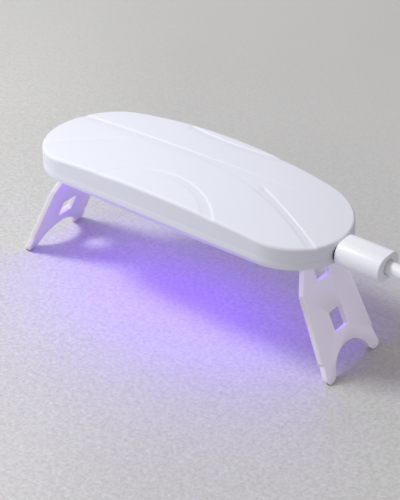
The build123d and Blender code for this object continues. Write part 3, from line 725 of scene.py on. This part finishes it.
def make_cover():
    def seam(x, y):
        return seam_height(x)

    def under_top(x, y):
        return top_height(x, y) - WALL

    def over_top(sag):
        return lambda x, y: top_height(x, y) - sunk(x, y) - sag

    def up_wall(share):
        """From above the seam's step to where the rounded edge starts."""
        return lambda x, y: seam(x, y) + SEAM_STEP_TALL + share * (
            top_height(x, y) - EDGE_ROUND - seam(x, y) - SEAM_STEP_TALL)

    rows = [ring(SPINE_INSET, under_top, spread=0.0)]
    for inset in INNER_INSETS:
        rows.append(ring(inset, under_top))
    rows.append(ring(WALL, seam))
    rows.append(ring(SEAM_STEP, seam))
    rows.append(ring(SEAM_STEP, lambda x, y: seam(x, y) + SEAM_STEP_TALL * 0.7))
    for share in (0.0, 0.1, 0.3, 0.5, 0.7, 0.9):
        rows.append(ring(0, up_wall(share)))
    for degrees_up in range(0, 100, 10):
        inset = EDGE_ROUND * (1 - cos(radians(degrees_up)))
        rows.append(ring(inset, over_top(edge_sag(inset))))
    for step in range(TOP_ROWS + 1):
        inset = EDGE_ROUND + (SPINE_INSET - EDGE_ROUND) * step / TOP_ROWS
        rows.append(ring(inset, over_top(0)))
    for spread in (0.8, 0.6, 0.4, 0.2, 0.0):
        rows.append(ring(SPINE_INSET, over_top(0), spread=spread))
    cover = wrap_grid("top_cover_moulded", rows)
    cut_away(cover, bar(*RIGHT_END, *SOCKET_OPENING))
    cut_away(cover, bar(*LEFT_END, *BUTTON_OPENING))
    smooth(cover, CRISP_EDGE)
    stand_in(cover, "housing", "white_gloss", "top_cover")
    dress(cover, gloss_white)


# Legs and bottom shell: copies of the solids whose edges are eased, as moulded edges are
LEG_EDGE = 0.22
SHELL_EDGE = 0.18
MERGE_WITHIN = 0.000005  # metres
FLAT_WITHIN = 0.3        # degrees


def softened(node, body, slot, finish, width):
    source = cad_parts[node]
    piece = source.copy()
    piece.data = source.data.copy()
    piece.name = node + "_moulded"
    bpy.context.collection.objects.link(piece)
    select_only(piece)
    bpy.ops.object.mode_set(mode="EDIT")
    bpy.ops.mesh.select_all(action="SELECT")
    bpy.ops.mesh.remove_doubles(threshold=MERGE_WITHIN)
    bpy.ops.mesh.dissolve_limited(angle_limit=radians(FLAT_WITHIN))
    bpy.ops.object.mode_set(mode="OBJECT")
    ease_edges(piece, width, segments=3, sharper_than=30, miter_outer="MITER_ARC")
    smooth(piece, CRISP_EDGE)
    stand_in(piece, body, slot, node)
    dress(piece, finish)


# The pushed-in plug's grip, with soft ends and a snug recess round the cable, and painted shade on
# its front: a black piece that follows the housing's round end, for the dark gap between them
GRIP_START = 67.2
GRIP_END = 85.8
GRIP_SECTION = (13.2, 9.8, 4.7)        # width, height and corner radius
NOSE_SECTION = (8.5, 2.7, 1.3)
NOSE_REACH = 4
GAP_SHADE_SECTION = (11.8, 6.6, 3.2)
GAP_SHADE_FRONT = 1.1         # how far the black piece of painted shade stands out in front of the grip
GAP_SHADE_OVERLAP = 0.5
GAP_SHADE_CLEARANCE = 0.1           # and how far it keeps from the housing
GAP_SHADE_CUT_TALL = 20
GRIP_EDGE = 0.7
GRIP_CRISP_EDGE = 40     # degrees
CABLE_RECESS = 2.9       # radius
CABLE_RECESS_DEEP = 1.0


def make_grip():
    grip = bar(GRIP_START, GRIP_END, *GRIP_SECTION)
    grip.name = "plug_grip_moulded"
    along_x, upright = (0, pi / 2, 0), (0, 0, 0)
    cut_away(grip, round_post(GRIP_END, 0, PORT, CABLE_RECESS, 2 * CABLE_RECESS_DEEP, along_x))
    cut_away(grip, bar(GRIP_START - NOSE_REACH, GRIP_START + NOSE_REACH, *NOSE_SECTION))
    ease_edges(grip, GRIP_EDGE, segments=5, sharper_than=50)
    smooth(grip, GRIP_CRISP_EDGE)
    stand_in(grip, "lead", "white_plug", "plug_grip")
    dress(grip, plug_white)
    # Painted shade: a black piece in front of the grip, standing in for the shadow in the gap between
    # plug and housing
    gap_shade = bar(GRIP_START - GAP_SHADE_FRONT, GRIP_START + GAP_SHADE_OVERLAP, *GAP_SHADE_SECTION)
    gap_shade.name = "plug_gap_shade"
    housing_end = END_RADIUS + GAP_SHADE_CLEARANCE
    cut_away(gap_shade, round_post(END_CENTRE, 0, PORT, housing_end, GAP_SHADE_CUT_TALL, upright))
    smooth(gap_shade, GRIP_CRISP_EDGE)
    stand_in(gap_shade, "lead", "black_plastic")
    dress(gap_shade, black_case)


# Table and light
TABLE_SIZE = 6.0
TABLE_TOP = -0.0001      # just under the feet
ROOM_COLOUR = (1.0, 0.945, 0.95)
ROOM_STRENGTH = 0.40
LAMP_VIOLET = (0.18, 0.0, 1.0)
LAMP_SIZE = 0.005
LAMP_WATTS = 0.0057
LAMP_LEAN = (0.002, 0.0096)      # how far from straight under its lens a lamp's beam lands
LAMP_BEAM = radians(145)
UNDER_LENS = 0.0003      # gap between a lens and its light


def make_table(finish):
    bpy.ops.mesh.primitive_plane_add(size=TABLE_SIZE, location=(0, 0, TABLE_TOP))
    table = bpy.context.object
    table.name = "table_top"
    bpy.ops.object.transform_apply(location=True, rotation=False, scale=False)
    dress(table, finish)


def soft_light(name, shape, place, aim, size, watts, colour):
    """A square or round light at a place, turned to face another."""
    data = bpy.data.lights.new(name, "AREA")
    data.shape = shape
    data.size = size
    data.energy = watts
    data.color = colour
    light = bpy.data.objects.new(name, data)
    light.location = place
    light.rotation_euler = (Vector(aim) - Vector(place)).to_track_quat("-Z", "Y").to_euler()
    bpy.context.collection.objects.link(light)
    return light


def set_light():
    world = bpy.data.worlds.new("studio")
    world.use_nodes = True
    room = world.node_tree.nodes["Background"]
    room.inputs["Color"].default_value = (*ROOM_COLOUR, 1)
    room.inputs["Strength"].default_value = ROOM_STRENGTH
    bpy.context.scene.world = world
    for name, place, aim, size, watts, colour in (
        ("key", (-0.90, -0.443, 1.34), (0, 0, 0.03), 0.42, 16.7, (0.97, 0.995, 1.0)),
        ("window", (-1.4, 0.1, 1.1), (0, 0, 0.05), 1.6, 5.0, (0.96, 0.985, 1.0)),
        ("fill", (-0.5, -1.15, 0.8), (0, 0, 0.03), 0.8, 2.2, (0.97, 0.985, 1.0)),
    ):
        soft_light(name, "SQUARE", place, aim, size, watts, colour)
    for number in LAMP_NUMBERS:
        low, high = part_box(f"lens_{number}")
        middle = (Vector(low) + Vector(high)) / 2
        place = (middle.x, middle.y, low[2] - UNDER_LENS)
        aim = (middle.x - LAMP_LEAN[0], middle.y - LAMP_LEAN[1], 0)
        glow = soft_light(
            f"violet_{number}", "DISK", place, aim, LAMP_SIZE, LAMP_WATTS, LAMP_VIOLET)
        glow.data.spread = LAMP_BEAM
        glow.visible_camera = False


set_camera()
lead = make_lead()
for node, finish in node_finishes.items():
    dress(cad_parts[node], finish)
dress(lead, cable_white)
make_cover()
make_grip()
for side, finish in milky_leg.items():
    softened(f"leg_{side}", f"leg_{side}", "milky_plastic", finish, LEG_EDGE)
softened("bottom_shell", "housing", "white_gloss", shell_white, SHELL_EDGE)
make_table(table_top("pale_table"))
set_light()
bpy.context.scene.view_settings.view_transform = "Standard"
